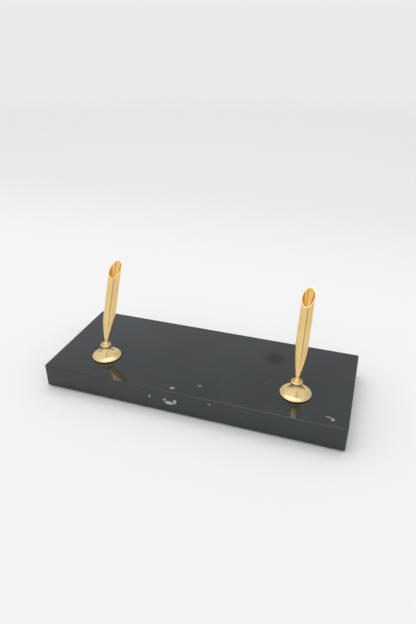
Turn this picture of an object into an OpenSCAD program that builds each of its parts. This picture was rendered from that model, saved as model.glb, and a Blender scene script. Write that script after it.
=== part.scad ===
// Double desk pen stand: a polished stone slab that carries two slant-mouthed
// pen funnels, each on a ball swivel in a bell-shaped flange that is bolted
// through the stone. The felt's underside lies at z = 0 under the middle of
// the slab, +X runs along the slab to the right and +Y runs to its back.
// Distances along a funnel are counted from the centre of its ball.

/* [Slab] */
// Length of the stone slab
slab_w = 250; // [200:1:400]
// Depth of the stone slab, front to back
slab_d = 100; // [70:1:160]
// Thickness of the stone slab
slab_t = 20; // [16:0.5:30]
// Radius of the slab's upright corners
corner_r = 1.5; // [1:0.1:4]
// Radius of the polished edge round each face
arris_r = 0.8; // [0.3:0.1:1]
// Thickness of the felt under the slab
felt_t = 1; // [0.5:0.1:3]
// How far the felt stays in from the slab's edge
felt_inset = 2; // [1:0.5:6]

/* [Layout] */
// Distance between the centres of the two swivels
swivel_spacing = 164; // [120:1:172]
// Distance of the swivels from the slab's front edge
swivel_setback = 30; // [20:1:50]
// Lean of both funnels from upright, in degrees
lean = 37; // [0:0.5:38]
// Way the left funnel leans, in degrees round from +X
left_heading = 99.5; // [0:0.5:180]
// Way the right funnel leans, in degrees round from +X
right_heading = 93; // [0:0.5:180]
// Turn of the left funnel's mouth round its own axis, in degrees
left_mouth_turn = 175.5; // [0:0.5:360]
// Turn of the right funnel's mouth round its own axis, in degrees
right_mouth_turn = 174; // [0:0.5:360]

/* [Funnel] */
// Outer diameter of the straight part
funnel_d = 10.3; // [8.5:0.1:13]
// Thickness of the drawn tube
funnel_wall = 0.4; // [0.3:0.05:0.6]
// Reach of the mouth's high tip from the ball
tip_reach = 76.3; // [62:0.1:95]
// Reach of the mouth's low lip from the ball
lip_reach = 57.7; // [48:0.1:61]
// Distance from the ball at which the taper meets the straight part
taper_start = 31; // [26:0.5:37]
// Radius of the taper's long curve
taper_r = 105; // [88:1:130]
// Thickness of the funnel's closed end
floor_t = 0.8; // [0.6:0.1:1]
// Wall of the nib liner at its top
liner_lip_t = 0.7; // [0.5:0.1:1.2]
// Radius of the liner's cavity at its closed end
liner_tip_r = 1.5; // [1:0.1:1.8]

/* [Swivel] */
// Diameter of the ball
ball_d = 6; // [5:0.1:7.2]
// Greatest lean that the collar lets the ball stud reach, in degrees
lean_limit = 38; // [38:0.5:46]
// How far the collar reaches in over the ball's widest circle
ball_hold = 0.08; // [0.05:0.01:0.15]
// Diameter of the collar's round bead
bead_d = 1.6; // [1.3:0.1:1.9]
// Height of the bead's middle over the stone
bead_height = 11.3; // [9.4:0.1:14]
// Thickness of the seat under the ball
seat_t = 1.35; // [1:0.05:1.7]
// Thickness of one disc spring
spring_t = 0.3; // [0.2:0.05:0.4]
// Dish of one disc spring
spring_dish = 0.35; // [0.2:0.05:0.45]

/* [Bell] */
// Outer diameter of the bell's rim
bell_d = 24.5; // [21:0.5:29.5]
// Diameter of the round bead along the rim
rim_bead_d = 1.06; // [0.9:0.02:1.3]
// Thickness of the bell's shell
bell_wall = 1; // [0.8:0.1:1.2]
// Wall of the neck round the ball
neck_wall = 0.55; // [0.45:0.05:0.7]
// Thickness of the gasket under the bell
gasket_t = 0.4; // [0.3:0.1:0.8]

/* [Fasteners] */
// Thread diameter of the stud through the stone
stud_d = 4; // [3.5:0.5:5]
// Diameter of the hole through the stone
stud_hole_d = 5.5; // [5:0.1:6.5]
// Diameter of the counterbore under the stone
counterbore_d = 16; // [14:0.5:20]
// Depth of the counterbore under the stone
counterbore_depth = 8; // [7:0.5:10]
// Outer diameter of the plain washer
washer_d = 12; // [10:0.5:14]
// Thickness of the plain washer
washer_t = 0.8; // [0.6:0.1:1.2]
// Outer diameter of the spring lock washer
lock_washer_d = 7.6; // [6.8:0.1:9]
// Thickness of the spring lock washer
lock_washer_t = 0.9; // [0.7:0.1:1.2]
// Width of the stud's nut across its flats
nut_af = 7; // [6.5:0.5:9]
// Thickness of the stud's nut
nut_t = 3.2; // [2.6:0.1:4]
// Length of stud left below the nut
stud_tail = 1.2; // [0.5:0.1:1.6]
// Thread diameter of the ball stud's tail
tail_d = 2; // [1.7:0.1:2.4]
// Width of the tail's nut across its flats
tail_nut_af = 4; // [3.3:0.1:4.8]
// Thickness of the tail's nut
tail_nut_t = 1.6; // [1.3:0.1:2]
// Thickness of the fibre washer under the tail's nut
tail_washer_t = 0.4; // [0.3:0.1:0.5]

/* [Hidden] */
$fn = 96;
long_curve_fn = 720;
overrun = 1;
SIDES = ["left", "right"];
SIDE_PIECES = [
    "funnel", "nib_liner", "ball_stud", "tail_washer", "tail_nut",
    "collar", "ball_seat", "upper_spring", "lower_spring", "bell",
    "gasket", "stud", "plain_washer", "lock_washer", "hex_nut"
];

// Clearances
ball_clear = 0.05;
seat_clear = 0.06;
lean_clear = 0.07;
shoulder_clear = 0.3;
liner_clear = 0.05;
tail_clear = 0.05;
nut_room = 0.1;
spin_clear = 0.04;
stack_clear = 0.3;
split_w = 0.6;

// Radii
funnel_r = funnel_d / 2;
ball_r = ball_d / 2;
bead_r = bead_d / 2;
bead_ring_r = ball_r - ball_hold + bead_r;
neck_bore_r = ball_r + 0.4;
neck_outer_r = neck_bore_r + neck_wall;
spigot_bore_r = ball_r + 0.08;
rim_bead_r = rim_bead_d / 2;
rim_ring_r = bell_d / 2 - rim_bead_r;
rim_inner_r = rim_ring_r - 0.62;
stud_r = stud_d / 2;
tail_r = tail_d / 2;
boss_r = neck_bore_r + 0.8;
tail_nut_r = tail_nut_af / 2 / cos(30);
tail_washer_r = tail_nut_r - 0.05;

// Heights, counted from under the felt
stone_top = felt_t + slab_t;
bead_z = stone_top + bead_height;
bead_reach = ball_r + ball_clear + bead_r;
bead_over_ball = sqrt(bead_reach ^ 2 - bead_ring_r ^ 2);
ball_z = bead_z - bead_over_ball;
neck_top_z = bead_z - bead_r + 0.05;
collar_foot_z = ball_z - ball_r * 0.4;
seat_top_z = collar_foot_z - stack_clear;
seat_foot_z = ball_z - ball_r - ball_clear - seat_t;
spring_mid_z = seat_foot_z - spring_t - spring_dish;
neck_floor_z = spring_mid_z - spring_t - spring_dish;
bell_foot_z = stone_top + gasket_t;
rim_top_z = bell_foot_z + rim_bead_d;
stud_top_z = neck_floor_z - 0.2;
counterbore_top_z = felt_t + counterbore_depth;
washer_foot_z = counterbore_top_z - washer_t;
lock_foot_z = washer_foot_z - lock_washer_t;
nut_foot_z = lock_foot_z - nut_t;
stud_foot_z = nut_foot_z - stud_tail;

// Bell sweep: an arc that is upright at the neck's top and meets the rim
sweep_run = rim_inner_r - neck_outer_r;
sweep_rise = neck_top_z - rim_top_z;
sweep_r = (sweep_run ^ 2 + sweep_rise ^ 2) / (2 * sweep_run);
sweep_centre_r = neck_outer_r + sweep_r;

// Ball stud: its neck is as thick as the collar allows at the greatest lean
bead_angle = asin(bead_ring_r / bead_reach);
bead_off_axis = bead_reach * sin(bead_angle - lean_limit);
bead_along_axis = bead_reach * cos(bead_angle - lean_limit);
neck_r = bead_off_axis - bead_r - lean_clear;
shoulder_s = bead_along_axis + bead_r + shoulder_clear;
shoulder_len = 1.2;
cone_len = 1;

// Funnel's closed end: it lies where the bore is just wide enough for the nut
bore_curve_r = taper_r - funnel_wall;
curve_centre_x = funnel_r - taper_r;
nut_fit_s = taper_start - sqrt(bore_curve_r ^ 2 - (tail_nut_r + nut_room - curve_centre_x) ^ 2);
floor_s = max(nut_fit_s, shoulder_s + shoulder_len + cone_len + floor_t);
seam_s = floor_s - floor_t;
tail_washer_s = floor_s + spin_clear;
tail_nut_s = tail_washer_s + tail_washer_t;
tail_end_s = tail_nut_s + tail_nut_t + 0.5;
liner_foot_s = tail_end_s + 0.5;
liner_floor_t = 2;
liner_mouth_r = funnel_r - funnel_wall - liner_clear - liner_lip_t;

// Mouth: a flat cut from the high tip to the low lip
mouth_mid_s = (tip_reach + lip_reach) / 2;
mouth_angle = atan((tip_reach - lip_reach) / funnel_d);
mouth_cut = 4 * funnel_d;

function heading(side) = side == "left" ? left_heading : right_heading;
function mouth_turn(side) = side == "left" ? left_mouth_turn : right_mouth_turn;
function swivel_x(side) = (side == "left" ? -1 : 1) * swivel_spacing / 2;
swivel_y = swivel_setback - slab_d / 2;

// Places a piece on the upright axis of one swivel
module on_swivel(side) {
    translate([swivel_x(side), swivel_y, 0]) children();
}

// Places a piece along one funnel, its own +Z running from the ball to the mouth
module along_funnel(side) {
    on_swivel(side) translate([0, 0, ball_z])
        rotate([0, lean, heading(side)])
            rotate([0, 0, mouth_turn(side)]) children();
}

module rounded_rect(w, h, r) {
    square([w - 2 * r, h], center = true);
    square([w, h - 2 * r], center = true);
    for (x = [-1, 1], y = [-1, 1])
        translate([x * (w / 2 - r), y * (h / 2 - r)]) circle(r);
}

// Upright tube between two heights
module ring(outer_r, inner_r, from, to) {
    translate([0, 0, from]) difference() {
        cylinder(r = outer_r, h = to - from);
        translate([0, 0, -overrun]) cylinder(r = inner_r, h = to - from + 2 * overrun);
    }
}

// Solid inside the funnel's outline, set in by a margin, between two distances
module funnel_core(margin, from, to) {
    rotate_extrude() {
        intersection() {
            translate([curve_centre_x, taper_start])
                circle(taper_r - margin, $fn = long_curve_fn);
            translate([0, from])
                square([funnel_r, min(to, taper_start + overrun) - from]);
        }
        translate([0, taper_start]) square([funnel_r - margin, to - taper_start]);
    }
}

module stone_slab() {
    color([0.13, 0.14, 0.14]) difference() {
        translate([0, 0, felt_t]) intersection() {
            linear_extrude(slab_t) rounded_rect(slab_w, slab_d, corner_r);
            rotate([90, 0, 0]) linear_extrude(slab_d + 2 * overrun, center = true)
                translate([0, slab_t / 2]) rounded_rect(slab_w, slab_t, arris_r);
            rotate([90, 0, 90]) linear_extrude(slab_w + 2 * overrun, center = true)
                translate([0, slab_t / 2]) rounded_rect(slab_d, slab_t, arris_r);
        }
        for (side = SIDES) on_swivel(side) {
            cylinder(d = stud_hole_d, h = stone_top + overrun);
            cylinder(d = counterbore_d, h = counterbore_top_z);
        }
    }
}

module felt_pad() {
    inset = 2 * felt_inset;
    color([0.05, 0.12, 0.09]) linear_extrude(felt_t)
        rounded_rect(slab_w - inset, slab_d - inset, corner_r);
}

module funnel(side) {
    color([0.86, 0.72, 0.42]) along_funnel(side) difference() {
        funnel_core(0, seam_s, tip_reach + overrun);
        funnel_core(funnel_wall, floor_s, tip_reach + 2 * overrun);
        translate([0, 0, seam_s - overrun])
            cylinder(r = tail_r + tail_clear, h = floor_t + 2 * overrun);
        translate([0, 0, mouth_mid_s]) rotate([0, mouth_angle, 0])
            translate([-mouth_cut / 2, -mouth_cut / 2, 0]) cube(mouth_cut);
    }
}

module nib_liner(side) {
    cavity_s = liner_foot_s + liner_floor_t;
    color([0.08, 0.08, 0.08]) along_funnel(side) difference() {
        funnel_core(funnel_wall + liner_clear, liner_foot_s, taper_start);
        translate([0, 0, cavity_s])
            cylinder(r1 = liner_tip_r, r2 = liner_mouth_r, h = taper_start - cavity_s);
    }
}

// Ball, turned neck, cone that carries on the funnel's outline, threaded tail
module ball_stud(side) {
    color([0.86, 0.74, 0.46]) along_funnel(side) {
        sphere(ball_r);
        cylinder(r = neck_r, h = seam_s);
        cylinder(r = tail_r, h = tail_end_s);
        intersection() {
            funnel_core(0, shoulder_s, taper_start + overrun);
            translate([0, 0, shoulder_s]) union() {
                cylinder(r1 = neck_r, r2 = neck_r + shoulder_len, h = shoulder_len);
                translate([0, 0, shoulder_len])
                    cylinder(r = funnel_r, h = seam_s - shoulder_s - shoulder_len);
            }
        }
    }
}

module tail_washer(side) {
    color([0.45, 0.2, 0.12]) along_funnel(side)
        ring(tail_washer_r, tail_r, tail_washer_s, tail_nut_s);
}

module tail_nut(side) {
    color([0.7, 0.7, 0.68]) along_funnel(side) translate([0, 0, tail_nut_s]) difference() {
        cylinder(r = tail_nut_r, h = tail_nut_t, $fn = 6);
        translate([0, 0, -overrun]) cylinder(r = tail_r, h = tail_nut_t + 2 * overrun);
    }
}

// Round bead that holds the ball down, on a spigot screwed into the bell's neck
module collar(side) {
    color([0.88, 0.75, 0.45]) on_swivel(side) difference() {
        union() {
            translate([0, 0, bead_z]) rotate_extrude()
                translate([bead_ring_r, 0]) circle(bead_r);
            ring(neck_bore_r, spigot_bore_r, collar_foot_z, bead_z);
        }
        translate([0, 0, neck_top_z - bead_d]) ring(neck_outer_r + bead_d, neck_bore_r, 0, bead_d);
        translate([0, 0, ball_z]) sphere(ball_r + ball_clear);
    }
}

module ball_seat(side) {
    color([0.9, 0.88, 0.8]) on_swivel(side) difference() {
        translate([0, 0, seat_foot_z])
            cylinder(r = neck_bore_r - seat_clear, h = seat_top_z - seat_foot_z);
        translate([0, 0, ball_z]) sphere(ball_r + ball_clear);
    }
}

// Dished disc spring: its outer edge at from_z, its inner edge at to_z
module disc_spring(from_z, to_z, thick) {
    outer = neck_bore_r - 0.2;
    inner = neck_bore_r / 2;
    rotate_extrude() polygon([
        [outer, from_z], [outer, from_z + thick], [inner, to_z], [inner, to_z - thick]
    ]);
}

module upper_spring(side) {
    color([0.55, 0.56, 0.58]) on_swivel(side)
        disc_spring(seat_foot_z, spring_mid_z, -spring_t);
}

module lower_spring(side) {
    color([0.55, 0.56, 0.58]) on_swivel(side)
        disc_spring(neck_floor_z, spring_mid_z, spring_t);
}

// Bell flange: trumpet outside, hollow underside, boss for the stud
module bell(side) {
    color([0.88, 0.75, 0.45]) on_swivel(side) rotate_extrude() {
        difference() {
            translate([stud_r, bell_foot_z]) square([rim_ring_r - stud_r, neck_top_z - bell_foot_z]);
            translate([0, neck_floor_z]) square([neck_bore_r, neck_top_z]);
            translate([sweep_centre_r, neck_top_z]) circle(sweep_r, $fn = long_curve_fn);
            translate([rim_inner_r, rim_top_z]) square([bell_d, neck_top_z]);
            difference() {
                translate([boss_r, 0])
                    square([rim_inner_r - bell_wall - boss_r, neck_top_z]);
                translate([sweep_centre_r, neck_top_z])
                    circle(sweep_r + bell_wall, $fn = long_curve_fn);
            }
        }
        translate([rim_ring_r, bell_foot_z + rim_bead_r]) circle(rim_bead_r);
    }
}

module gasket(side) {
    color([0.06, 0.06, 0.06]) on_swivel(side)
        ring(rim_ring_r, stud_hole_d / 2, stone_top, bell_foot_z);
}

// Threaded stud, screwed into the bell's boss, with a driver slot in its foot
module stud(side) {
    slot_depth = stud_tail * 0.8;
    color([0.7, 0.7, 0.68]) on_swivel(side) difference() {
        translate([0, 0, stud_foot_z]) cylinder(r = stud_r, h = stud_top_z - stud_foot_z);
        translate([-stud_d, -split_w / 2, stud_foot_z - overrun])
            cube([2 * stud_d, split_w, slot_depth + overrun]);
    }
}

module plain_washer(side) {
    color([0.7, 0.7, 0.68]) on_swivel(side)
        ring(washer_d / 2, stud_r, washer_foot_z, counterbore_top_z);
}

// Split ring washer
module lock_washer(side) {
    color([0.5, 0.5, 0.5]) on_swivel(side) difference() {
        ring(lock_washer_d / 2, stud_r, lock_foot_z, washer_foot_z);
        translate([0, -split_w / 2, lock_foot_z - overrun])
            cube([lock_washer_d, split_w, lock_washer_t + 2 * overrun]);
    }
}

module hex_nut(side) {
    color([0.7, 0.7, 0.68]) on_swivel(side) translate([0, 0, nut_foot_z]) difference() {
        cylinder(r = nut_af / 2 / cos(30), h = nut_t, $fn = 6);
        translate([0, 0, -overrun]) cylinder(r = stud_r, h = nut_t + 2 * overrun);
    }
}

stone_slab();
felt_pad();
for (side = SIDES) {
    funnel(side);
    nib_liner(side);
    ball_stud(side);
    tail_washer(side);
    tail_nut(side);
    collar(side);
    ball_seat(side);
    upper_spring(side);
    lower_spring(side);
    bell(side);
    gasket(side);
    stud(side);
    plain_washer(side);
    lock_washer(side);
    hex_nut(side);
}
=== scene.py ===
"""Looks of a double desk pen stand: a black marble slab with two gilt pen funnels.

Shapes are drawn in millimetres, in the model's own frame, and made metres when a piece is
finished. Distances along a funnel are counted from the centre of its ball, and heights from
under the felt.
"""

import math

import bmesh
import bpy
from mathutils import Matrix, Vector


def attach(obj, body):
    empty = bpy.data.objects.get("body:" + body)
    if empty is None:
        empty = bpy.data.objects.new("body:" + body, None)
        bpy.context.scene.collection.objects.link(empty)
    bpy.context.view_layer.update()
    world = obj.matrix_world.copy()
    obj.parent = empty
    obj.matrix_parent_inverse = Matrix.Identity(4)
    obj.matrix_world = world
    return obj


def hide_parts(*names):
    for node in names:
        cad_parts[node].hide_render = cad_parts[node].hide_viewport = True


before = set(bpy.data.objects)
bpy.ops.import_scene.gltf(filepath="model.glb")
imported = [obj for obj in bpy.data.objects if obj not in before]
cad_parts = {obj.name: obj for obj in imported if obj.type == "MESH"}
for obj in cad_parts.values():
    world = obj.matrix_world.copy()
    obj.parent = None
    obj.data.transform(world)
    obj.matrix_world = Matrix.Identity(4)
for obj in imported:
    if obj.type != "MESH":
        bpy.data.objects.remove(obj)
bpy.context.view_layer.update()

MM = 0.001
SIDES = ("left", "right")
TURN_STEPS = 160

# Camera: its place in millimetres, the way it looks, and its lens
CAMERA_PLACE, CAMERA_LOOK = (117.16, -337.93, 267.20), (-0.27834, 0.82828, -0.48629)
LENS_MM, SENSOR_MM = 29.186, 36.0

# Slab, felt and gasket
SLAB_W, SLAB_D, SLAB_T = 250.0, 100.0, 20.0
CORNER_R, ARRIS_R = 1.5, 0.8
FELT_T, GASKET_T = 1.0, 0.4
STONE_TOP = FELT_T + SLAB_T

# Places of the two swivels, and how each funnel stands at rest
SWIVEL_SPACING, SWIVEL_SETBACK = 164.0, 30.0
SWIVEL_X = {"left": -SWIVEL_SPACING / 2, "right": SWIVEL_SPACING / 2}
SWIVEL_Y = SWIVEL_SETBACK - SLAB_D / 2
HEADING = {"left": 99.5, "right": 93.0}
MOUTH_TURN = {"left": 175.5, "right": 174.0}
LEAN, LEAN_LIMIT = 37.0, 38.0

# Clearances, and small rounds on the lip, on the funnel's seam and on the bell's neck
BALL_CLEAR, TAIL_CLEAR, LEAN_CLEAR, SPIN_CLEAR = 0.05, 0.05, 0.07, 0.04
SHOULDER_CLEAR, NUT_ROOM, TAIL_PAST_NUT = 0.3, 0.1, 0.5
LIP_ROUND, SEAM_ROUND, NECK_ROUND = 0.09, 0.07, 0.1

# Ball, and the collar's round bead that holds it down
BALL_R, BALL_HOLD = 3.0, 0.08
BEAD_R, BEAD_HEIGHT = 0.8, 11.3
BEAD_RING_R = BALL_R - BALL_HOLD + BEAD_R
BEAD_REACH = BALL_R + BALL_CLEAR + BEAD_R
BEAD_Z = STONE_TOP + BEAD_HEIGHT
BALL_Z = BEAD_Z - math.sqrt(BEAD_REACH ** 2 - BEAD_RING_R ** 2)
SPIGOT_BORE_R = BALL_R + 0.08
SPIGOT_FOOT_Z, SPIGOT_BORE_TOP_Z = BALL_Z - 0.4 * BALL_R, BALL_Z + 0.2

# Bell: a sweep that is upright at the neck's top and meets the rim's bead near its top
BELL_R, BELL_WALL, NECK_WALL = 12.25, 1.0, 0.55
SEAT_T, SPRING_T, SPRING_DISH = 1.35, 0.3, 0.35
NECK_BORE_R = BALL_R + 0.4
NECK_OUTER_R = NECK_BORE_R + NECK_WALL
BOSS_R, STUD_R = NECK_BORE_R + 0.8, 2.0
NECK_TOP_Z = BEAD_Z - BEAD_R + 0.05
NECK_FLOOR_Z = BALL_Z - BALL_R - BALL_CLEAR - SEAT_T - 2 * (SPRING_T + SPRING_DISH)
BELL_FOOT_Z = STONE_TOP + GASKET_T
RIM_BEAD_R, RIM_SHELF = 0.53, 0.62
RIM_RING_R = BELL_R - RIM_BEAD_R
RIM_INNER_R = RIM_RING_R - RIM_SHELF
RIM_TOP_Z = BELL_FOOT_Z + 2 * RIM_BEAD_R
SWEEP_RUN, SWEEP_RISE = RIM_INNER_R - NECK_OUTER_R, NECK_TOP_Z - RIM_TOP_Z
SWEEP_R = (SWEEP_RUN ** 2 + SWEEP_RISE ** 2) / (2 * SWEEP_RUN)
SWEEP_X = NECK_OUTER_R + SWEEP_R

# Ball stud: its neck is as thick as the bead allows at the greatest lean
BEAD_TURN = math.asin(BEAD_RING_R / BEAD_REACH) - math.radians(LEAN_LIMIT)
NECK_R = BEAD_REACH * math.sin(BEAD_TURN) - BEAD_R - LEAN_CLEAR
SHOULDER_S = BEAD_REACH * math.cos(BEAD_TURN) + BEAD_R + SHOULDER_CLEAR
TAIL_R, TAIL_WASHER_T, TAIL_NUT_T, TAIL_NUT_AF = 1.0, 0.4, 1.6, 4.0
TAIL_NUT_R = TAIL_NUT_AF / 2 / math.cos(math.radians(30))

# Funnel: its closed end lies where the bore is just wide enough for the tail's nut
FUNNEL_R, FUNNEL_WALL, FLOOR_T = 5.15, 0.4, 0.8
TIP_REACH, LIP_REACH = 76.3, 57.7
TAPER_START, TAPER_R = 31.0, 105.0
TAPER_CENTRE = (FUNNEL_R - TAPER_R, TAPER_START)
NUT_FROM_CENTRE = TAIL_NUT_R + NUT_ROOM - TAPER_CENTRE[0]
FLOOR_S = TAPER_START - math.sqrt((TAPER_R - FUNNEL_WALL) ** 2 - NUT_FROM_CENTRE ** 2)
SEAM_S = FLOOR_S - FLOOR_T
TAIL_END_S = FLOOR_S + SPIN_CLEAR + TAIL_WASHER_T + TAIL_NUT_T + TAIL_PAST_NUT


# ---------------------------------------------------------------- camera

def aim(thing, place, look):
    """Turns a camera or a lamp so that its -Z looks along a direction and it stands upright."""
    back = -Vector(look).normalized()
    side = Vector((0.0, 0.0, 1.0)).cross(back).normalized()
    turn = Matrix((side, back.cross(side), back)).transposed()
    thing.matrix_world = Matrix.Translation(Vector(place) * MM) @ turn.to_4x4()


def set_camera():
    """Stands the camera in front of the slab, to its right and above it."""
    lens = bpy.data.cameras.new("camera")
    lens.sensor_width = SENSOR_MM
    lens.lens = LENS_MM
    lens.clip_start, lens.clip_end = 0.01, 100.0
    camera = bpy.data.objects.new("camera", lens)
    bpy.context.scene.collection.objects.link(camera)
    aim(camera, CAMERA_PLACE, CAMERA_LOOK)
    bpy.context.scene.camera = camera
    bpy.context.scene.view_settings.view_transform = "Standard"
    bpy.context.scene.view_settings.look = "None"


set_camera()


# ---------------------------------------------------------------- drawing and turning

def sweep_arc(bm, vert, centre, degrees, steps):
    """Draws an arc in the XZ plane from a vertex, counterclockwise from X to Z; returns its end."""
    for _ in range(steps):
        out = bmesh.ops.spin(
            bm, geom=[vert], cent=(centre[0], 0, centre[1]), axis=(0, 1, 0),
            angle=math.radians(-degrees / steps), steps=1, use_duplicate=False,
        )
        vert = next(part for part in out["geom_last"] if isinstance(part, bmesh.types.BMVert))
    return vert


def draw_to(bm, vert, x, z):
    """Carries a profile on with a straight edge; returns its end."""
    end = bmesh.ops.extrude_vert_indiv(bm, verts=[vert])["verts"][0]
    end.co = Vector((x, 0, z))
    return end


def turn_full(bm, steps=TURN_STEPS):
    """Turns the whole profile once round the Z axis and closes it."""
    bmesh.ops.spin(
        bm, geom=bm.verts[:] + bm.edges[:], cent=(0, 0, 0), axis=(0, 0, 1),
        angle=2 * math.pi, steps=steps, use_merge=True, use_duplicate=False,
    )
    bmesh.ops.remove_doubles(bm, verts=bm.verts[:], dist=1e-4)
    bmesh.ops.recalc_face_normals(bm, faces=bm.faces[:])


def round_edges(bm, edges, width, segments):
    bmesh.ops.bevel(
        bm, geom=edges, offset=width, offset_type="OFFSET", affect="EDGES",
        segments=segments, profile=0.5, material=-1, clamp_overlap=True,
    )


def from_axis(vert):
    return math.hypot(vert.co.x, vert.co.y)


def circle_edges(bm, radius, z, reach=0.02):
    """Finds the edges of one circle round the Z axis."""
    return [
        edge for edge in bm.edges
        if all(abs(v.co.z - z) < reach and abs(from_axis(v) - radius) < reach for v in edge.verts)
    ]


def mark_sharp(bm, degrees):
    """Marks the edges to shade as sharp: steep ones, and those of a broad face with small ones."""
    for edge in bm.edges:
        if len(edge.link_faces) == 2:
            turn = math.degrees(edge.calc_face_angle(0.0))
            small, broad = sorted(face.calc_area() for face in edge.link_faces)
            edge.smooth = turn < degrees and (turn < 4 or broad < 20 * small)


def finish_piece(bm, name, finish, place=None, sharp=32.0, inside=None):
    """Makes a shape drawn in millimetres a smooth-shaded object with its place in its mesh."""
    mark_sharp(bm, sharp)
    if place is not None:
        bmesh.ops.transform(bm, matrix=place, verts=bm.verts[:])
    bmesh.ops.scale(bm, vec=(MM, MM, MM), verts=bm.verts[:])
    for face in bm.faces:
        face.smooth = True
    mesh = bpy.data.meshes.new(name)
    bm.to_mesh(mesh)
    bm.free()
    mesh.materials.append(finish)
    if inside is not None:
        mesh.materials.append(inside)
    piece = bpy.data.objects.new(name, mesh)
    bpy.context.scene.collection.objects.link(piece)
    return piece


def upright(side):
    """Places a piece drawn round the Z axis on one swivel's upright axis."""
    return Matrix.Translation((SWIVEL_X[side], SWIVEL_Y, 0))


def along_funnel(side):
    """Places a piece drawn along +Z from its ball's centre into one funnel."""
    return (
        Matrix.Translation((SWIVEL_X[side], SWIVEL_Y, BALL_Z))
        @ Matrix.Rotation(math.radians(HEADING[side]), 4, "Z")
        @ Matrix.Rotation(math.radians(LEAN), 4, "Y")
        @ Matrix.Rotation(math.radians(MOUTH_TURN[side]), 4, "Z")
    )


# ---------------------------------------------------------------- shapes

def taper_radius(s):
    """Outline of the funnel below its straight part, at a distance from the ball."""
    return TAPER_CENTRE[0] + math.sqrt(TAPER_R ** 2 - (TAPER_START - s) ** 2)


def taper_degrees(s, margin=0.0):
    """Turn of the taper's curve between a distance from the ball and the straight part."""
    return math.degrees(math.asin((TAPER_START - s) / (TAPER_R - margin)))


def build_slab():
    """Block with rounded upright corners and a small polished arris round each face."""
    bm = bmesh.new()
    bmesh.ops.create_cube(bm, size=1.0)
    bmesh.ops.scale(bm, vec=(SLAB_W, SLAB_D, SLAB_T), verts=bm.verts[:])
    bmesh.ops.translate(bm, vec=(0, 0, FELT_T + SLAB_T / 2), verts=bm.verts[:])
    corners = [e for e in bm.edges if abs(e.verts[0].co.z - e.verts[1].co.z) > 1]
    round_edges(bm, corners, CORNER_R, 8)
    around = [e for e in bm.edges if abs(e.verts[0].co.z - e.verts[1].co.z) < 0.1]
    round_edges(bm, around, ARRIS_R, 5)
    return bm


def cut_mouth(bm, mouth_s):
    """Slants the mouth of an upright tube: its ring slides down on its +X side, up on the other."""
    lip = {v for v in bm.verts if v.co.z > mouth_s - 0.01}
    slant = Matrix.Identity(4)
    slant[2][0] = -(TIP_REACH - LIP_REACH) / (2 * FUNNEL_R)
    bmesh.ops.transform(bm, matrix=slant, verts=list(lip))
    rims = [
        edge for edge in bm.edges
        if set(edge.verts) <= lip and len({round(from_axis(v), 2) for v in edge.verts}) == 1
    ]
    round_edges(bm, rims, LIP_ROUND, 3)


def paint_inside(bm):
    """Gives the faces that look towards the axis the piece's second material."""
    bm.normal_update()
    for face in bm.faces:
        middle = face.calc_center_median()
        if face.normal.x * middle.x + face.normal.y * middle.y < -0.1:
            face.material_index = 1


def build_funnel():
    """Drawn tube with a tapering foot, cut off aslant at its mouth."""
    bm = bmesh.new()
    inner_r, hole_r = FUNNEL_R - FUNNEL_WALL, TAIL_R + TAIL_CLEAR
    mouth_s = (TIP_REACH + LIP_REACH) / 2
    first = bm.verts.new((hole_r, 0, SEAM_S))
    end = draw_to(bm, first, taper_radius(SEAM_S), SEAM_S)
    end = sweep_arc(bm, end, TAPER_CENTRE, taper_degrees(SEAM_S), 28)
    end = draw_to(bm, end, FUNNEL_R, mouth_s)
    end = draw_to(bm, end, inner_r, mouth_s)
    end = draw_to(bm, end, inner_r, TAPER_START)
    end = sweep_arc(bm, end, TAPER_CENTRE, -taper_degrees(FLOOR_S, FUNNEL_WALL), 28)
    end = draw_to(bm, end, hole_r, FLOOR_S)
    bmesh.ops.contextual_create(bm, geom=[end, first])
    turn_full(bm)
    cut_mouth(bm, mouth_s)
    round_edges(bm, circle_edges(bm, taper_radius(SEAM_S), SEAM_S), SEAM_ROUND, 2)
    # The inner faces take the more orange gilt, a painted reflection of light bouncing inside the
    # tube
    paint_inside(bm)
    return bm


def build_ball_stud():
    """Ball, turned neck, cone that carries on the funnel's outline, and tail."""
    bm = bmesh.new()
    pole = bm.verts.new((0, 0, -BALL_R))
    end = sweep_arc(bm, pole, (0, 0), 180 - math.degrees(math.asin(NECK_R / BALL_R)), 40)
    end = draw_to(bm, end, NECK_R, SHOULDER_S)
    # The shoulder widens as fast as it rises, until it meets the funnel's outline
    meet_s = SHOULDER_S
    while NECK_R + meet_s - SHOULDER_S < taper_radius(meet_s):
        meet_s += 0.005
    end = draw_to(bm, end, taper_radius(meet_s), meet_s)
    end = sweep_arc(bm, end, TAPER_CENTRE, taper_degrees(meet_s) - taper_degrees(SEAM_S), 8)
    end = draw_to(bm, end, TAIL_R, SEAM_S)
    end = draw_to(bm, end, TAIL_R, TAIL_END_S)
    draw_to(bm, end, 0, TAIL_END_S)
    turn_full(bm, 96)
    round_edges(bm, circle_edges(bm, taper_radius(SEAM_S), SEAM_S), SEAM_ROUND, 2)
    return bm


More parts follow.
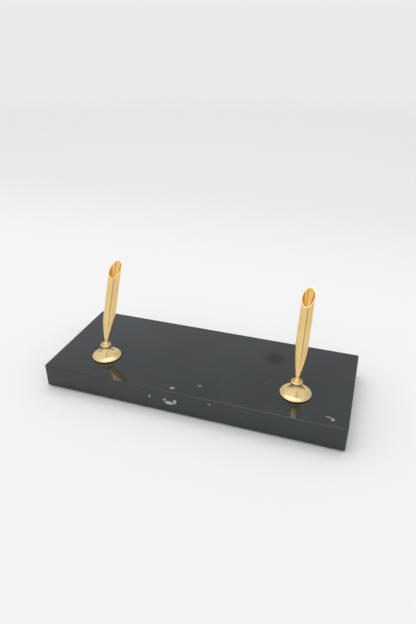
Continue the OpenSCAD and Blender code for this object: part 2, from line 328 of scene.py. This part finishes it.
def build_collar():
    """Round bead over a thin spigot, bored out to the ball."""
    bm = bmesh.new()
    bore_r = BALL_R + BALL_CLEAR
    touch_turn = math.asin(BEAD_RING_R / BEAD_REACH)
    touch = bm.verts.new((bore_r * math.sin(touch_turn), 0, BALL_Z + bore_r * math.cos(touch_turn)))
    under_turn = math.acos(math.sqrt(BEAD_R ** 2 - (BEAD_Z - NECK_TOP_Z) ** 2) / BEAD_R)
    over_bead = 270 - math.degrees(touch_turn) + math.degrees(under_turn)
    end = sweep_arc(bm, touch, (BEAD_RING_R, BEAD_Z), -over_bead, 44)
    end = draw_to(bm, end, NECK_BORE_R, NECK_TOP_Z)
    end = draw_to(bm, end, NECK_BORE_R, SPIGOT_FOOT_Z)
    end = draw_to(bm, end, SPIGOT_BORE_R, SPIGOT_FOOT_Z)
    end = draw_to(bm, end, SPIGOT_BORE_R, SPIGOT_BORE_TOP_Z)
    bmesh.ops.contextual_create(bm, geom=[end, touch])
    turn_full(bm, 120)
    return bm


def build_bell():
    """Trumpet flange with a rolled rim, hollow underneath, with a boss for its stud."""
    bm = bmesh.new()
    centre = (SWEEP_X, NECK_TOP_Z)
    hollow_r = RIM_INNER_R - BELL_WALL
    shell_r = SWEEP_R + BELL_WALL
    outer = math.degrees(math.acos((SWEEP_X - RIM_INNER_R) / SWEEP_R))
    low = math.degrees(math.acos((SWEEP_X - hollow_r) / shell_r))
    high = math.degrees(math.acos((SWEEP_X - BOSS_R) / shell_r))
    first = bm.verts.new((NECK_OUTER_R, 0, NECK_TOP_Z))
    end = sweep_arc(bm, first, centre, outer, 40)
    end = draw_to(bm, end, RIM_RING_R, RIM_TOP_Z)
    end = sweep_arc(bm, end, (RIM_RING_R, BELL_FOOT_Z + RIM_BEAD_R), -180, 18)
    end = draw_to(bm, end, hollow_r, BELL_FOOT_Z)
    end = draw_to(bm, end, hollow_r, NECK_TOP_Z - shell_r * math.sin(math.radians(low)))
    end = sweep_arc(bm, end, centre, high - low, 24)
    end = draw_to(bm, end, BOSS_R, BELL_FOOT_Z)
    end = draw_to(bm, end, STUD_R, BELL_FOOT_Z)
    end = draw_to(bm, end, STUD_R, NECK_FLOOR_Z)
    end = draw_to(bm, end, NECK_BORE_R, NECK_FLOOR_Z)
    end = draw_to(bm, end, NECK_BORE_R, NECK_TOP_Z)
    bmesh.ops.contextual_create(bm, geom=[end, first])
    turn_full(bm)
    round_edges(bm, circle_edges(bm, NECK_OUTER_R, NECK_TOP_Z), NECK_ROUND, 3)
    return bm


# ---------------------------------------------------------------- shader nodes

def feed(tree, socket, value):
    """Gives a socket a fixed value, or joins another node's output to it; None leaves it."""
    if isinstance(value, bpy.types.NodeSocket):
        tree.links.new(value, socket)
    elif value is not None:
        socket.default_value = value


def add_math(tree, operation, first, second=None):
    """Adds a Math node; returns its output."""
    node = tree.nodes.new("ShaderNodeMath")
    node.operation = operation
    feed(tree, node.inputs[0], first)
    feed(tree, node.inputs[1], second)
    return node.outputs[0]


def add_vector_math(tree, operation, first, second=None):
    """Adds a Vector Math node; returns its number where it gives one, or else its vector."""
    node = tree.nodes.new("ShaderNodeVectorMath")
    node.operation = operation
    feed(tree, node.inputs[0], first)
    feed(tree, node.inputs[1], second)
    return node.outputs["Value" if operation in ("LENGTH", "DOT_PRODUCT") else "Vector"]


def add_range(tree, value, low, high, to_low=0.0, to_high=1.0, smooth=True):
    """Adds a clamped Map Range node; returns its output."""
    node = tree.nodes.new("ShaderNodeMapRange")
    node.interpolation_type = "SMOOTHSTEP" if smooth else "LINEAR"
    feed(tree, node.inputs["Value"], value)
    feed(tree, node.inputs["From Min"], low)
    feed(tree, node.inputs["From Max"], high)
    feed(tree, node.inputs["To Min"], to_low)
    feed(tree, node.inputs["To Max"], to_high)
    return node.outputs["Result"]


def add_noise(tree, place, scale, detail=3.0, roughness=0.55, distortion=0.0):
    """Adds a Noise Texture read at a place; returns its value."""
    node = tree.nodes.new("ShaderNodeTexNoise")
    feed(tree, node.inputs["Vector"], place)
    feed(tree, node.inputs["Scale"], scale)
    feed(tree, node.inputs["Detail"], detail)
    feed(tree, node.inputs["Roughness"], roughness)
    feed(tree, node.inputs["Distortion"], distortion)
    return node.outputs["Fac"]


def add_mix(tree, factor, first, second):
    """Adds a colour Mix node; returns its output."""
    node = tree.nodes.new("ShaderNodeMix")
    node.data_type = "RGBA"
    # The colours' sockets come after those for numbers and for vectors
    feed(tree, node.inputs[0], factor)
    feed(tree, node.inputs[6], first)
    feed(tree, node.inputs[7], second)
    return node.outputs[2]


def split_axes(tree, vector):
    """Adds a Separate XYZ node; returns its outputs."""
    node = tree.nodes.new("ShaderNodeSeparateXYZ")
    feed(tree, node.inputs[0], vector)
    return node.outputs


def new_group(name, inputs, outputs):
    """Starts a shader node group with named inputs and outputs."""
    group = bpy.data.node_groups.new(name, "ShaderNodeTree")
    for label, kind, value in inputs:
        socket = group.interface.new_socket(
            name=label, in_out="INPUT", socket_type="NodeSocket" + kind)
        if value is not None:
            socket.default_value = value
    for label in outputs:
        group.interface.new_socket(name=label, in_out="OUTPUT", socket_type="NodeSocketFloat")
    given = group.nodes.new("NodeGroupInput").outputs
    return group, given, group.nodes.new("NodeGroupOutput").inputs


def make_handling_wear():
    """Fine rub marks and faint finger smudges for a bright surface."""
    group, given, put = new_group(
        "handling wear",
        [
            ("Vector", "Vector", None), ("Smudge Scale", "Float", 90.0),
            ("Smudge", "Float", 0.5), ("Scratch Scale", "Float", 900.0),
        ],
        ["Smudges", "Scratches"],
    )
    soft = add_noise(group, given["Vector"], given["Smudge Scale"], 4.0, 0.6, 0.6)
    smudge = add_range(group, soft, 0.42, 0.72)
    feed(group, put["Smudges"], add_math(group, "MULTIPLY", smudge, given["Smudge"]))
    stretch = group.nodes.new("ShaderNodeMapping")
    feed(group, stretch.inputs["Scale"], (1.0, 0.06, 0.35))
    feed(group, stretch.inputs["Rotation"], (0.3, 0.5, 0.7))
    feed(group, stretch.inputs["Vector"], given["Vector"])
    fine = add_noise(group, stretch.outputs["Vector"], given["Scratch Scale"], 2.0, 0.5)
    feed(group, put["Scratches"], add_range(group, fine, 0.60, 0.70))
    return group


def make_ragged_patch():
    """A ragged patch round one place: full inside, with a broken edge."""
    group, given, put = new_group(
        "calcite fleck",
        [
            ("Vector", "Vector", None), ("Place", "Vector", (0.0, 0.0, 0.0)),
            ("Reach", "Vector", (1.0, 1.0, 1.0)), ("Strength", "Float", 1.0),
        ],
        ["Mask"],
    )
    away = add_vector_math(group, "SUBTRACT", given["Vector"], given["Place"])
    share = add_vector_math(group, "DIVIDE", away, given["Reach"])
    ragged = add_noise(group, given["Vector"], 900.0, 4.0, 0.7)
    edge = add_math(
        group, "ADD", add_vector_math(group, "LENGTH", share),
        add_range(group, ragged, 0.25, 0.75, -0.45, 0.45))
    mask = add_range(group, edge, 1.0, 0.7)
    feed(group, put["Mask"], add_math(group, "MULTIPLY", mask, given["Strength"]))
    return group


HANDLING_WEAR = make_handling_wear()
RAGGED_PATCH = make_ragged_patch()


def place_group(tree, group, values):
    """Places a node group with its inputs; returns its outputs."""
    node = tree.nodes.new("ShaderNodeGroup")
    node.node_tree = group
    for label, value in values.items():
        feed(tree, node.inputs[label], value)
    return node.outputs


def add_wear(tree, place, smudge_scale, scratch_scale):
    """Places the handling wear; returns its smudges and its scratches."""
    wear = place_group(tree, HANDLING_WEAR, {
        "Vector": place, "Smudge Scale": smudge_scale, "Smudge": 1.0,
        "Scratch Scale": scratch_scale,
    })
    return wear["Smudges"], wear["Scratches"]


def add_patch(tree, place, middle, reach, strength):
    """Places one ragged patch, its middle and reach in millimetres; returns its mask."""
    return place_group(tree, RAGGED_PATCH, {
        "Vector": place, "Place": tuple(c * MM for c in middle),
        "Reach": tuple(c * MM for c in reach), "Strength": strength,
    })["Mask"]


# ---------------------------------------------------------------- materials

def tint(red, green, blue):
    return (red, green, blue, 1.0)


def new_material(name, **fixed):
    """Starts a material; fixed numbers and colours go on the shader's own sockets."""
    material = bpy.data.materials.new(name)
    material.use_nodes = True
    tree = material.node_tree
    shader = tree.nodes["Principled BSDF"].inputs
    for label, value in fixed.items():
        shader[label.replace("_", " ").title().replace("Ior", "IOR")].default_value = value
    place = tree.nodes.new("ShaderNodeTexCoord").outputs["Object"]
    return material, tree, shader, place


def raise_surface(tree, shader, height, millimetres):
    """Adds a bump of a greatest height to a shader."""
    bump = tree.nodes.new("ShaderNodeBump")
    feed(tree, bump.inputs["Distance"], millimetres * MM)
    feed(tree, bump.inputs["Strength"], 1.0)
    feed(tree, bump.inputs["Height"], height)
    feed(tree, shader["Normal"], bump.outputs["Normal"])


def shift_tone(tree, shader, value, deep, light, low=0.3, high=0.7):
    """Colours a surface between a deep and a light tone, by a value between two bounds."""
    blend = add_range(tree, value, low, high)
    feed(tree, shader["Base Color"], add_mix(tree, blend, deep, light))


def make_metal(name, light, deep, rough, smudge_rise, scratch_height, tint_scale=60.0):
    """Polished or plated metal with soft tone shifts, finger smudges and fine rub marks."""
    material, tree, shader, place = new_material(name, metallic=1.0)
    shift_tone(tree, shader, add_noise(tree, place, tint_scale, 3.0, 0.5), deep, light)
    smudges, scratches = add_wear(tree, place, 110.0, 1500.0)
    lift = add_math(tree, "MULTIPLY", smudges, smudge_rise)
    feed(tree, shader["Roughness"], add_math(tree, "ADD", lift, rough))
    raise_surface(tree, shader, scratches, scratch_height)
    return material


def make_cloth(name, light, deep):
    """Matted wool felt: tangled fibres and soft nap."""
    material, tree, shader, place = new_material(
        name, roughness=0.95, sheen_weight=0.35, sheen_roughness=0.5)
    mat = add_noise(tree, place, 1400.0, 5.0, 0.75, 1.2)
    tuft = add_noise(tree, place, 260.0, 3.0, 0.6)
    blend = add_math(tree, "MULTIPLY", mat, tuft)
    shift_tone(tree, shader, blend, deep, light, 0.15, 0.38)
    raise_surface(tree, shader, mat, 0.25)
    return material


def make_moulded(name, light, deep, rough, grain_scale, grain_height):
    """Moulded or pressed sheet: fine grain, slight tone shifts, uneven sheen."""
    material, tree, shader, place = new_material(name)
    shift_tone(tree, shader, add_noise(tree, place, grain_scale * 0.2, 3.0, 0.5), deep, light)
    grain = add_noise(tree, place, grain_scale, 3.0, 0.6)
    uneven = add_range(tree, grain, 0.3, 0.7, rough - 0.06, rough + 0.08)
    feed(tree, shader["Roughness"], uneven)
    raise_surface(tree, shader, grain, grain_height)
    return material


# ---------------------------------------------------------------- marble

# Calcite flecks: middle and reach each way, in millimetres, and strength
FLECKS = [
    ((-11.4, -44.4, 21.0), (2.1, 1.5, 0.8), 0.62),
    ((8.3, -35.0, 21.0), (2.1, 1.3, 0.8), 0.34),
    ((110.0, -40.0, 21.0), (3.2, 0.9, 0.8), 0.42),
    ((113.0, -42.0, 21.0), (1.6, 1.8, 0.8), 0.60),
    ((58.1, -14.1, 21.0), (1.4, 0.9, 0.8), 0.12),
    ((-41.9, -36.5, 21.0), (1.3, 0.8, 0.8), 0.06),
    ((-28.7, -50.0, 12.9), (1.0, 0.8, 1.6), 0.52),
    ((-12.0, -50.0, 10.2), (4.1, 0.8, 1.65), 0.88),
    ((-7.2, -50.0, 12.2), (1.6, 0.8, 2.2), 0.78),
    ((-15.6, -50.0, 12.6), (1.7, 0.8, 1.1), 0.62),
    ((21.3, -50.0, 17.4), (1.5, 0.8, 1.1), 0.28),
]
# Dark clot in the slab, behind the right funnel
CLOT = ((56.0, 22.5, 21.0), (8.5, 9.5, 6.0), 0.85)
COAT_WEIGHT, CLOT_DULLS = 0.68, 0.34


def add_ground(tree, place):
    """Cloudy dark ground with a fine grain; returns its colour."""
    cloud = add_range(tree, add_noise(tree, place, 9.0, 5.0, 0.6, 0.8), 0.3, 0.7)
    ground = add_mix(tree, cloud, tint(0.0145, 0.0185, 0.0195), tint(0.0235, 0.0290, 0.0305))
    grain = add_range(tree, add_noise(tree, place, 420.0, 4.0, 0.7), 0.55, 0.8, 0.0, 0.5)
    return add_mix(tree, grain, ground, tint(0.050, 0.055, 0.056))


def add_hair_veins(tree, place, ground):
    """Veins as thin as a hair, where a warped noise crosses its middle; returns the colour."""
    vein = add_noise(tree, place, 16.0, 3.0, 0.6, 1.6)
    from_middle = add_math(tree, "ABSOLUTE", add_math(tree, "SUBTRACT", vein, 0.5))
    hair = add_range(tree, from_middle, 0.005, 0.0, 0.0, 0.07)
    broken = add_range(tree, add_noise(tree, place, 22.0, 2.0, 0.5), 0.56, 0.70)
    return add_mix(tree, add_math(tree, "MULTIPLY", hair, broken), ground, tint(0.20, 0.22, 0.22))


def add_calcite(tree, place):
    """The flecks, and tiny strewn crystals of the same kind; returns their mask."""
    white = None
    for middle, reach, strength in FLECKS:
        fleck = add_patch(tree, place, middle, reach, strength)
        white = fleck if white is None else add_math(tree, "MAXIMUM", white, fleck)
    strewn = tree.nodes.new("ShaderNodeTexVoronoi")
    feed(tree, strewn.inputs["Scale"], 130.0)
    feed(tree, strewn.inputs["Vector"], place)
    chance = tree.nodes.new("ShaderNodeSeparateColor")
    feed(tree, chance.inputs["Color"], strewn.outputs["Color"])
    chosen = add_range(tree, chance.outputs[0], 0.95, 0.98, 0.0, 0.28, smooth=False)
    crystal = add_range(tree, strewn.outputs["Distance"], 0.07, 0.03)
    return add_math(tree, "MAXIMUM", white, add_math(tree, "MULTIPLY", crystal, chosen))


def make_marble():
    """Polished black marble: cloudy dark ground, faint veins, white calcite flecks."""
    material, tree, shader, place = new_material(
        "black_marble", ior=1.30, coat_ior=1.50, coat_roughness=0.03)
    ground = add_hair_veins(tree, place, add_ground(tree, place))
    clot = add_patch(tree, place, *CLOT)
    ground = add_mix(tree, clot, ground, tint(0.008, 0.0085, 0.009))
    dulled = add_math(tree, "MULTIPLY", clot, CLOT_DULLS)
    feed(tree, shader["Coat Weight"], add_math(tree, "SUBTRACT", COAT_WEIGHT, dulled))
    white = add_calcite(tree, place)
    chalk = add_noise(tree, place, 1500.0, 3.0, 0.6)
    pale = add_mix(tree, chalk, tint(0.30, 0.36, 0.37), tint(0.62, 0.68, 0.68))
    feed(tree, shader["Base Color"], add_mix(tree, white, ground, pale))
    smudges, _ = add_wear(tree, place, 26.0, 700.0)
    gloss = add_math(tree, "ADD", add_math(tree, "MULTIPLY", smudges, 0.03), 0.025)
    chalky = add_math(tree, "MULTIPLY", white, 0.12)
    feed(tree, shader["Roughness"], add_math(tree, "ADD", gloss, chalky))
    # The polish dips a little where a crystal was softer, and wavers very slightly
    wave = add_math(tree, "MULTIPLY", add_noise(tree, place, 45.0, 2.0, 0.5), 0.10)
    dip = add_math(tree, "MULTIPLY", white, 0.5)
    raise_surface(tree, shader, add_math(tree, "SUBTRACT", wave, dip), 0.05)
    return material


# ---------------------------------------------------------------- finishes

GILT = make_metal(
    "gilt_brass", light=tint(0.860, 0.622, 0.278), deep=tint(0.835, 0.582, 0.240),
    rough=0.19, smudge_rise=0.07, scratch_height=0.003)
# Deeper orange gilt for the funnel's inner faces: painted reflection, standing in for the light
# that bounces inside the tube
GILT_PAINTED_REFLECTION = make_metal(
    "gilt_painted_reflection", light=tint(0.920, 0.585, 0.200), deep=tint(0.890, 0.535, 0.160),
    rough=0.16, smudge_rise=0.06, scratch_height=0.002)
GILT_CAST = make_metal(
    "gilt_flange", light=tint(0.850, 0.650, 0.345), deep=tint(0.820, 0.610, 0.300),
    rough=0.26, smudge_rise=0.07, scratch_height=0.003)
PLATED = make_metal(
    "zinc_plate", light=tint(0.66, 0.67, 0.66), deep=tint(0.54, 0.55, 0.53),
    rough=0.28, smudge_rise=0.15, scratch_height=0.01, tint_scale=300.0)
SPRING = make_metal(
    "spring_steel", light=tint(0.42, 0.43, 0.45), deep=tint(0.33, 0.33, 0.36),
    rough=0.34, smudge_rise=0.12, scratch_height=0.01, tint_scale=400.0)
MARBLE = make_marble()
FELT = make_cloth(
    "green_felt", light=tint(0.030, 0.070, 0.050), deep=tint(0.008, 0.026, 0.018))
LINER = make_moulded(
    "liner_plastic", light=tint(0.034, 0.034, 0.035), deep=tint(0.022, 0.022, 0.023),
    rough=0.48, grain_scale=1200.0, grain_height=0.02)
SEAT = make_moulded(
    "seat_plastic", light=tint(0.82, 0.80, 0.72), deep=tint(0.74, 0.71, 0.62),
    rough=0.42, grain_scale=900.0, grain_height=0.01)
FIBRE = make_moulded(
    "pressed_fibre", light=tint(0.40, 0.16, 0.08), deep=tint(0.27, 0.10, 0.05),
    rough=0.72, grain_scale=1600.0, grain_height=0.04)
GASKET = make_moulded(
    "gasket_rubber", light=tint(0.036, 0.036, 0.036), deep=tint(0.022, 0.022, 0.022),
    rough=0.62, grain_scale=800.0, grain_height=0.03)


# ---------------------------------------------------------------- pieces

slab = finish_piece(build_slab(), "marble_slab", MARBLE, sharp=60.0)
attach(slab, "base")
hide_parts("stone_slab")

for side in SIDES:
    for build, node, body, place, finish, inside in (
        (build_funnel, "funnel", f"{side}_socket", along_funnel, GILT, GILT_PAINTED_REFLECTION),
        (build_ball_stud, "ball_stud", f"{side}_ball", along_funnel, GILT, None),
        (build_collar, "collar", "base", upright, GILT_CAST, None),
        (build_bell, "bell", "base", upright, GILT_CAST, None),
    ):
        piece = finish_piece(build(), f"{side}_{node}_gilt", finish, place(side), inside=inside)
        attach(piece, body)
        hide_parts(f"{side}_{node}")

# The other pieces show their CAD shape in a finish of their own
NODE_FINISH = {
    "felt_pad": FELT, "nib_liner": LINER, "tail_washer": FIBRE, "tail_nut": PLATED,
    "ball_seat": SEAT, "upper_spring": SPRING, "lower_spring": SPRING, "gasket": GASKET,
    "stud": PLATED, "plain_washer": PLATED, "lock_washer": SPRING, "hex_nut": PLATED,
}
for name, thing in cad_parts.items():
    kind = name.split("_", 1)[1] if name.startswith(SIDES) else name
    if kind in NODE_FINISH:
        for slot in thing.material_slots:
            slot.material = NODE_FINISH[kind]


# ---------------------------------------------------------------- floor and light

# Distances in metres, from the origin
FLOOR_HALF = 2.5
# The far colour is painted shade: the paper is darkened towards the back to stand in for the light
# falling off there
PAPER_NEAR, PAPER_SHADED_FAR = tint(0.925, 0.930, 0.937), tint(0.825, 0.830, 0.827)
PAINTED_SHADE_FROM, PAINTED_SHADE_TO = 0.16, 0.60
FLOOR_FADES_FROM, FLOOR_FADES_TO = 0.9, 2.4

# Brightness of the surroundings at the horizon and above it, and what it loses
HORIZON_LEVEL, SKY_LEVEL = 0.825, 0.91
BACK_CALM, OVERHEAD_DIM = 0.27, 0.55
# In front: a dark gap at an azimuth, a brighter strip left of it, a calmer side right of it
GAP_AZIMUTH, GAP_DIM = 28.0, 0.62
STRIP_RISE, RIGHT_CALM = 0.14, 0.05
SKY_TINT, GAP_TINT = tint(0.985, 1.0, 1.0), tint(1.0, 0.86, 0.62)


def lay_floor():
    """Pale paper, painted darker towards the back as painted shade, that fades out into the
    surroundings.
    """
    material, tree, shader, place = new_material("pale_paper", roughness=0.85)
    # Painted shade: the paper's colour goes darker towards the back
    shade_towards_back = add_range(tree, split_axes(tree, place)["Y"], PAINTED_SHADE_FROM, PAINTED_SHADE_TO)
    feed(tree, shader["Base Color"], add_mix(tree, shade_towards_back, PAPER_NEAR, PAPER_SHADED_FAR))
    away = add_vector_math(tree, "LENGTH", place)
    shown = add_range(tree, away, FLOOR_FADES_FROM, FLOOR_FADES_TO, 1.0, 0.0)
    feed(tree, shader["Alpha"], shown)
    bm = bmesh.new()
    bmesh.ops.create_grid(bm, x_segments=1, y_segments=1, size=FLOOR_HALF)
    mesh = bpy.data.meshes.new("floor")
    bm.to_mesh(mesh)
    bm.free()
    mesh.materials.append(material)
    floor = bpy.data.objects.new("floor", mesh)
    bpy.context.scene.collection.objects.link(floor)


def hang_soft_box(name, azimuth, elevation, distance, width, height, radiance):
    """Rectangular lamp that faces the slab; azimuth is counted from the front to the right."""
    lamp = bpy.data.lights.new(name, "AREA")
    lamp.shape = "RECTANGLE"
    lamp.size, lamp.size_y = width, height
    lamp.energy = radiance * math.pi * width * height
    box = bpy.data.objects.new(name, lamp)
    bpy.context.scene.collection.objects.link(box)
    a, e = math.radians(azimuth), math.radians(elevation)
    out = Vector((math.sin(a) * math.cos(e), -math.cos(a) * math.cos(e), math.sin(e)))
    aim(box, out * distance / MM, -out)
    box.visible_camera = False


def add_sky_level(tree, parts):
    """Brightness by direction: even, but calmer towards the back and dim right overhead."""
    back = add_range(tree, parts["Y"], 0.30, 0.72)
    high = add_range(tree, parts["Z"], 0.08, 0.40)
    calm = add_math(tree, "MULTIPLY", add_math(tree, "MULTIPLY", back, high), BACK_CALM)
    overhead = add_range(tree, parts["Z"], 0.90, 0.98, 0.0, OVERHEAD_DIM)
    open_sky = add_range(tree, parts["Z"], 0.01, 0.14, HORIZON_LEVEL, SKY_LEVEL)
    return add_math(tree, "SUBTRACT", add_math(tree, "SUBTRACT", open_sky, calm), overhead)


def add_gap(tree, across, towards, up):
    """Mask of the dark gap in front: how far a direction looks into it."""
    beside = add_range(tree, add_math(tree, "ABSOLUTE", across), 0.16, 0.08)
    ahead = add_range(tree, towards, 0.35, 0.50)
    above = add_range(tree, up, 0.25, 0.40)
    return add_math(tree, "MULTIPLY", add_math(tree, "MULTIPLY", beside, ahead), above)


def add_front_share(tree, across, towards):
    """Share by which the front is brighter left of the gap and calmer right of it."""
    front = add_range(tree, towards, 0.0, 0.25)
    strip = add_math(
        tree, "MULTIPLY", add_range(tree, across, -0.14, -0.22),
        add_range(tree, across, -0.50, -0.34))
    uneven = add_math(
        tree, "SUBTRACT", add_math(tree, "MULTIPLY", strip, STRIP_RISE),
        add_range(tree, across, 0.12, 0.30, 0.0, RIGHT_CALM))
    return add_math(tree, "ADD", 1.0, add_math(tree, "MULTIPLY", uneven, front))


def light_world():
    """Bright, even surroundings: calmer towards the back, with one dark gap in front.

    Every bound in these functions is a share of a unit direction.
    """
    world = bpy.data.worlds.new("studio")
    bpy.context.scene.world = world
    world.use_nodes = True
    tree = world.node_tree
    way = tree.nodes.new("ShaderNodeTexCoord").outputs["Generated"]
    parts = split_axes(tree, way)
    gap = math.radians(GAP_AZIMUTH)
    across = add_vector_math(tree, "DOT_PRODUCT", way, (math.cos(gap), math.sin(gap), 0.0))
    towards = add_vector_math(tree, "DOT_PRODUCT", way, (math.sin(gap), -math.cos(gap), 0.0))
    dark = add_gap(tree, across, towards, parts["Z"])
    kept = add_math(tree, "SUBTRACT", 1.0, add_math(tree, "MULTIPLY", dark, GAP_DIM))
    level = add_math(tree, "MULTIPLY", add_sky_level(tree, parts), kept)
    level = add_math(tree, "MULTIPLY", level, add_front_share(tree, across, towards))
    background = tree.nodes["Background"].inputs
    feed(tree, background["Color"], add_mix(tree, dark, SKY_TINT, GAP_TINT))
    feed(tree, background["Strength"], level)


lay_floor()
hang_soft_box(
    "top_box", azimuth=-152.0, elevation=78.0, distance=2.6, width=1.6, height=1.75, radiance=1.9)
light_world()
